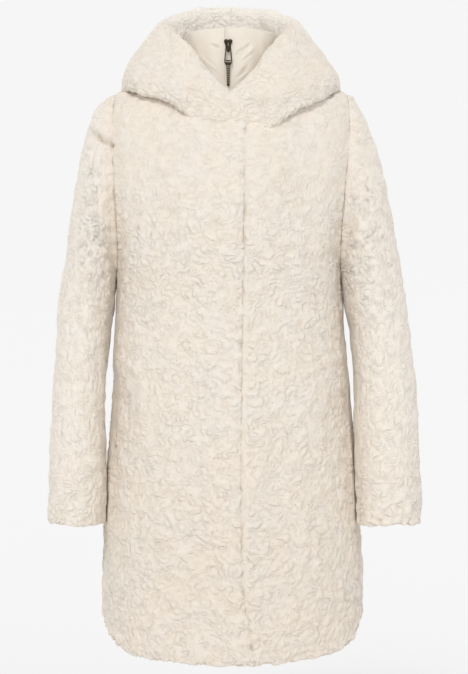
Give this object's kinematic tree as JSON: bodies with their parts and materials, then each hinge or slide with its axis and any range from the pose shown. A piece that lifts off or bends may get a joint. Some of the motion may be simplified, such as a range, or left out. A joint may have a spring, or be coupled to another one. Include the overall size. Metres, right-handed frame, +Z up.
{
  "type": "hooded faux fur coat",
  "caption": "Hip-to-thigh length hooded coat in curly faux fur, worn and hollow, with a covered front zip, stand collar inside the hood and a hinged zip puller.",
  "frame": {"origin": "in the middle of the neck at the height of the neck points, where the wearer carries the coat", "axes": "+Z up the body, -Y out of the front, +X to the wearer's left"},
  "size_m": [0.557, 0.3451, 0.995],
  "materials": {
    "fleece": "curled pile, matt",
    "lining_cloth": "smooth brushed cloth",
    "dark_metal": "antiqued dark metal, satin"
  },
  "bodies": {
    "coat": {"front_right": "fleece", "front_left": "fleece", "back": "fleece", "sleeve_right": "fleece", "sleeve_left": "fleece", "hood_right": "fleece", "hood_left": "fleece", "collar": "lining_cloth", "zip_tape": "lining_cloth", "zip_slider": "dark_metal"},
    "puller": {"zip_pull": "dark_metal"}
  },
  "joints": [
    {"name": "puller_hinge", "type": "hinge", "parent": "coat", "child": "puller", "pos_m": [-0.004, -0.08901, 0.0445], "axis": [-1, 0, 0], "range_deg": [0, 150]}
  ]
}
